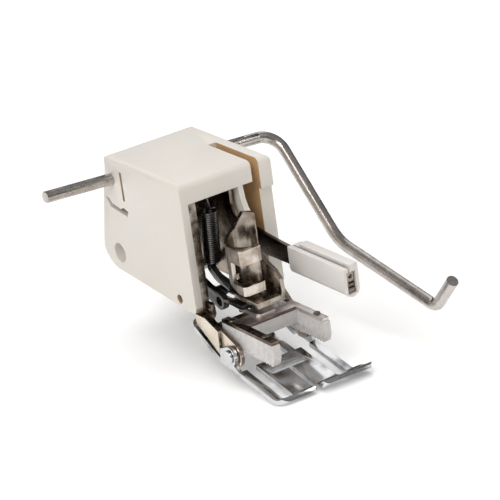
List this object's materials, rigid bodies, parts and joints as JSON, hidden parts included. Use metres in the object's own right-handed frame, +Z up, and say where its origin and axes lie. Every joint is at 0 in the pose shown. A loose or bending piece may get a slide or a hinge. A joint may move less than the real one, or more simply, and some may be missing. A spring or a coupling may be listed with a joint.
{
  "type": "sewing machine presser foot",
  "caption": "Open-toe walking presser foot with housing, fork lever on the needle clamp side, lifting feed dog, hinged sole and a bent guide bar",
  "frame": {"origin": "on the presser bar's axis at the height of the clamp screw, where the machine's bar and screw meet the foot", "axes": "+X to the right as the operator sees it, +Y away from the operator, +Z up along the presser bar"},
  "size_m": [0.0648, 0.078, 0.0451],
  "materials": {
    "housing_plastic": "satin, fine moulded grain",
    "shoe_plastic": "satin",
    "feed_plastic": "satin, slightly translucent",
    "nickel": "bright nickel plate",
    "sole_chrome": "mirror",
    "dark_steel": "dark, semi-polished",
    "black_steel": "gloss black",
    "grey_steel": "satin"
  },
  "bodies": {
    "frame": {"housing": "housing_plastic", "housing_pins": "nickel", "main_frame": "nickel", "shank_head": "nickel", "shank_rivets": "nickel", "lift_pin": "nickel", "spring_post": "nickel", "ankle_rivet_left": "nickel", "ankle_rivet_right": "nickel", "lift_spring": "black_steel", "fork_spring": "black_steel"},
    "fork": {"fork_shaft": "nickel", "fork_arm": "dark_steel", "fork_shoe": "shoe_plastic", "fork_tip": "dark_steel", "fork_crank": "nickel", "shaft_clip": "nickel"},
    "lift": {"lift_lever": "black_steel", "slide_studs": "nickel", "feed_spring": "black_steel"},
    "feed": {"slide_plate": "grey_steel", "feed_carrier": "grey_steel", "carrier_rivets": "grey_steel", "feed_dog": "feed_plastic"},
    "sole": {"sole": "sole_chrome"},
    "guide": {"guide_bar": "nickel"}
  },
  "joints": [
    {"name": "fork_lift", "type": "hinge", "parent": "frame", "child": "fork", "pos_m": [0, 0.0405, -0.0042], "axis": [-1, 0, 0], "range_deg": [0, 24], "stiffness_Nm_per_rad": 0.02, "springref_deg": -28.65, "deforming": ["fork_spring"]},
    {"name": "lift_swing", "type": "hinge", "parent": "frame", "child": "lift", "pos_m": [0, 0.0228, -0.0063], "axis": [1, 0, 0], "range_deg": [0, 8], "stiffness_Nm_per_rad": 0.05, "springref_deg": -17.19, "deforming": ["lift_spring"]},
    {"name": "feed_travel", "type": "slide", "parent": "lift", "child": "feed", "axis": [0, 1, 0], "range_m": [0, 0.0026], "stiffness_N_per_m": 60, "springref_m": -0.006, "deforming": ["feed_spring"]},
    {"name": "sole_pitch", "type": "hinge", "parent": "frame", "child": "sole", "pos_m": [0, -0.0025, -0.0182], "axis": [-1, 0, 0], "range_deg": [0, 14]},
    {"name": "guide_slide", "type": "slide", "parent": "frame", "child": "guide", "axis": [0.9981, 0, -0.061], "range_m": [-0.012, 0.016]}
  ],
  "couplings": [
    {"joint": "lift_swing", "follows": "fork_lift", "ratio": 0.33333}
  ]
}
